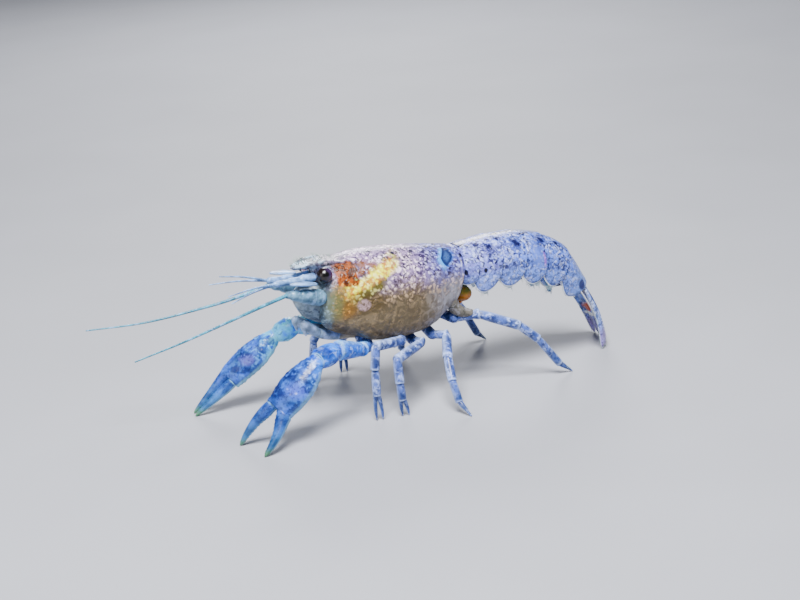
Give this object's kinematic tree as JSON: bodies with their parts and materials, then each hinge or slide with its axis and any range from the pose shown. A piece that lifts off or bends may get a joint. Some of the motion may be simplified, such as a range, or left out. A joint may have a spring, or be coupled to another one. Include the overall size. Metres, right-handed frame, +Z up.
{
  "type": "dwarf crayfish",
  "caption": "Life-size still model of a small freshwater crayfish, standing with its claws forward on the floor and its tail arched down to the floor",
  "frame": {"origin": "middle of the footprint of the whole animal, on the floor", "axes": "X along the body with the head towards -X, Y across the body with the animal's left side towards -Y, Z up from the floor"},
  "size_m": [0.0514, 0.0196, 0.0147],
  "materials": {
    "shell": "glossy shell, whitish lilac",
    "breast": "glossy shell, beige grey",
    "tail": "glossy shell, pale blue",
    "claw": "glossy shell, steel blue",
    "leg": "glossy shell, light blue",
    "feeler": "glossy shell, pale cyan",
    "eye": "glossy, very dark purple brown"
  },
  "bodies": {
    "root": {"abdomen_1": "tail", "abdomen_2": "tail", "abdomen_3": "tail", "abdomen_4": "tail", "abdomen_5": "tail", "abdomen_6": "tail", "antenna_base_left": "feeler", "antenna_base_right": "feeler", "antenna_left": "feeler", "antenna_right": "feeler", "antenna_scale_left": "feeler", "antenna_scale_right": "feeler", "antennule_left": "feeler", "antennule_right": "feeler", "breast_plate": "breast", "carapace": "shell", "claw_arm_left": "claw", "claw_arm_right": "claw", "claw_finger_left": "claw", "claw_finger_right": "claw", "claw_hand_left": "claw", "claw_hand_right": "claw", "claw_wrist_left": "claw", "claw_wrist_right": "claw", "eye_left": "eye", "eye_right": "eye", "face": "breast", "leg_2_lower_left": "leg", "leg_2_lower_right": "leg", "leg_2_upper_left": "leg", "leg_2_upper_right": "leg", "leg_3_lower_left": "leg", "leg_3_lower_right": "leg", "leg_3_upper_left": "leg", "leg_3_upper_right": "leg", "leg_4_lower_left": "leg", "leg_4_lower_right": "leg", "leg_4_upper_left": "leg", "leg_4_upper_right": "leg", "leg_5_lower_left": "leg", "leg_5_lower_right": "leg", "leg_5_upper_left": "leg", "leg_5_upper_right": "leg", "maxilliped_left": "breast", "maxilliped_right": "breast", "telson": "tail", "uropod_inner_left": "tail", "uropod_inner_right": "tail", "uropod_outer_left": "tail", "uropod_outer_right": "tail"}
  },
  "joints": []
}
